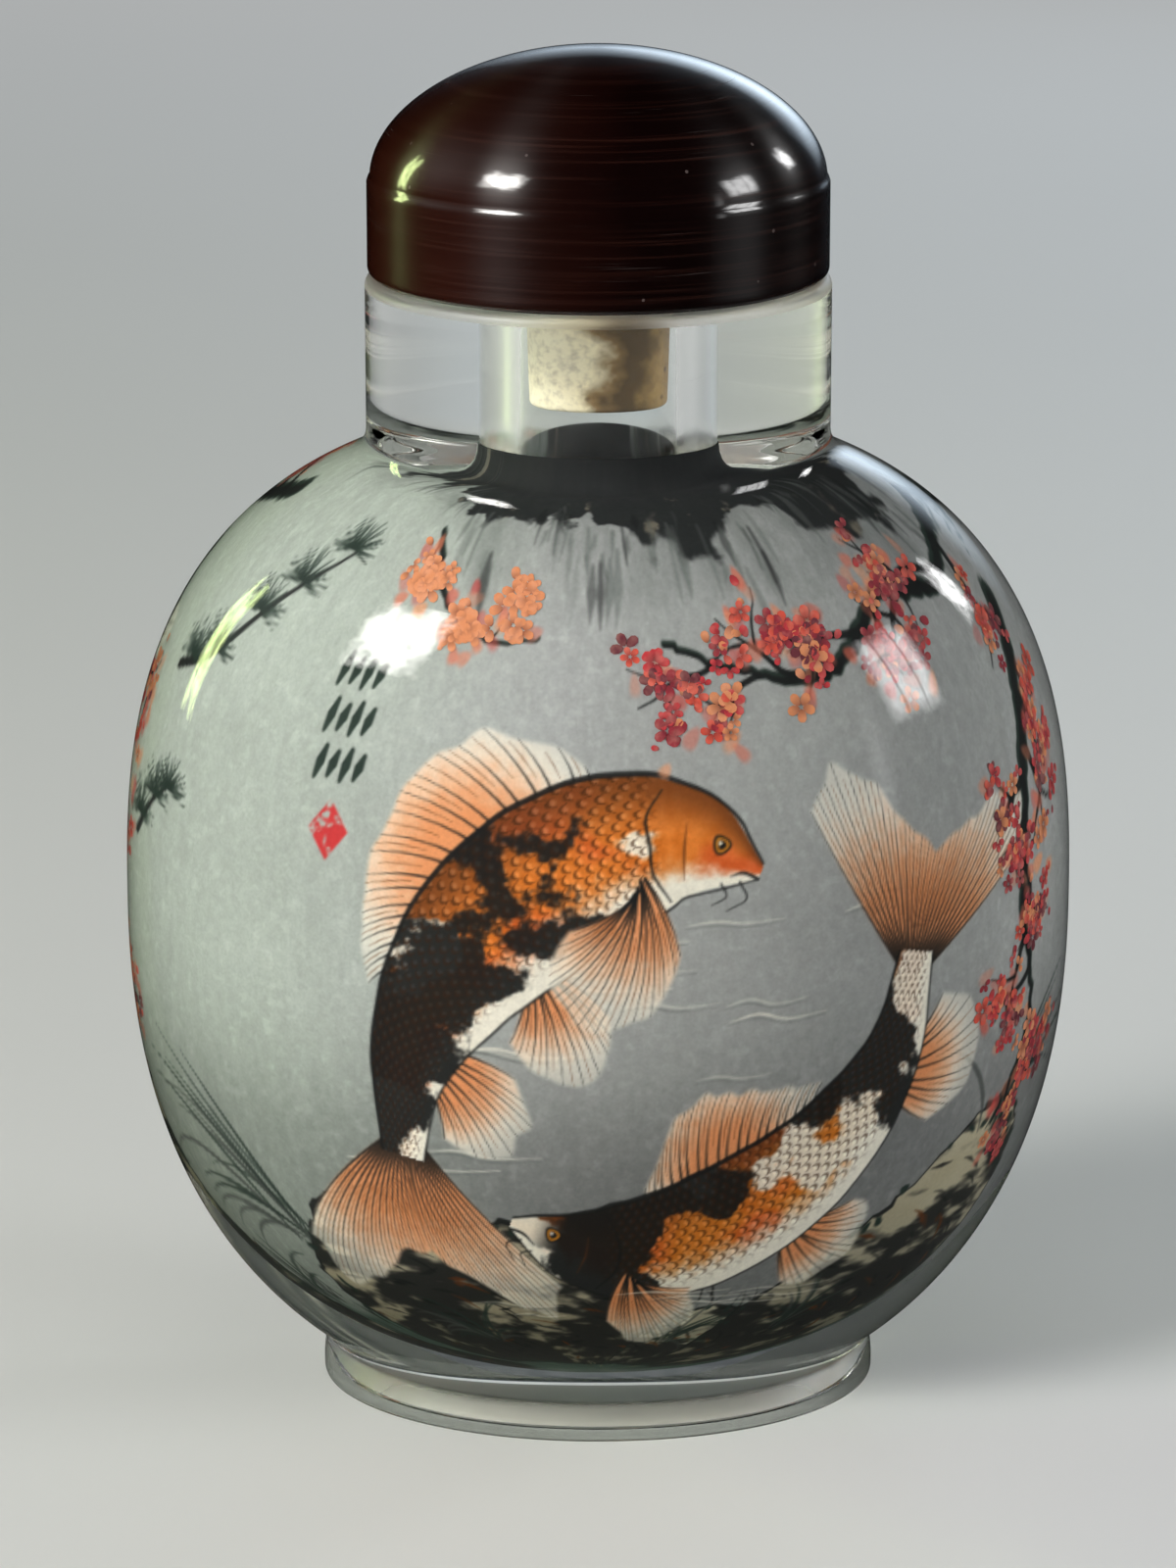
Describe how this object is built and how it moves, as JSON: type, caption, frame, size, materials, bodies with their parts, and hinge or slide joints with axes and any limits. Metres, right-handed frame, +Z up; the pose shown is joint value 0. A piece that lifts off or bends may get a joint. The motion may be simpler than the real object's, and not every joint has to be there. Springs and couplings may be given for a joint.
{
  "type": "snuff bottle",
  "caption": "Flattened globular glass snuff bottle with an oval foot, round neck, inside-painted cavity and domed stopper.",
  "frame": {"origin": "under the middle of the foot, on the surface that the bottle stands on", "axes": "+Z up through the neck; the broad painted face looks along -Y; the bottle is widest along X"},
  "size_m": [0.056, 0.044, 0.0806],
  "materials": {
    "clear_glass": "clear polished glass, ground and painted on the inside",
    "dark_red_resin": "polished, very dark red-brown, with fine turning marks",
    "cork": "raw cork, cream with brown stains"
  },
  "bodies": {
    "root": {"bottle": "clear_glass", "stopper_cap": "dark_red_resin", "stopper_cork": "cork"}
  },
  "joints": []
}
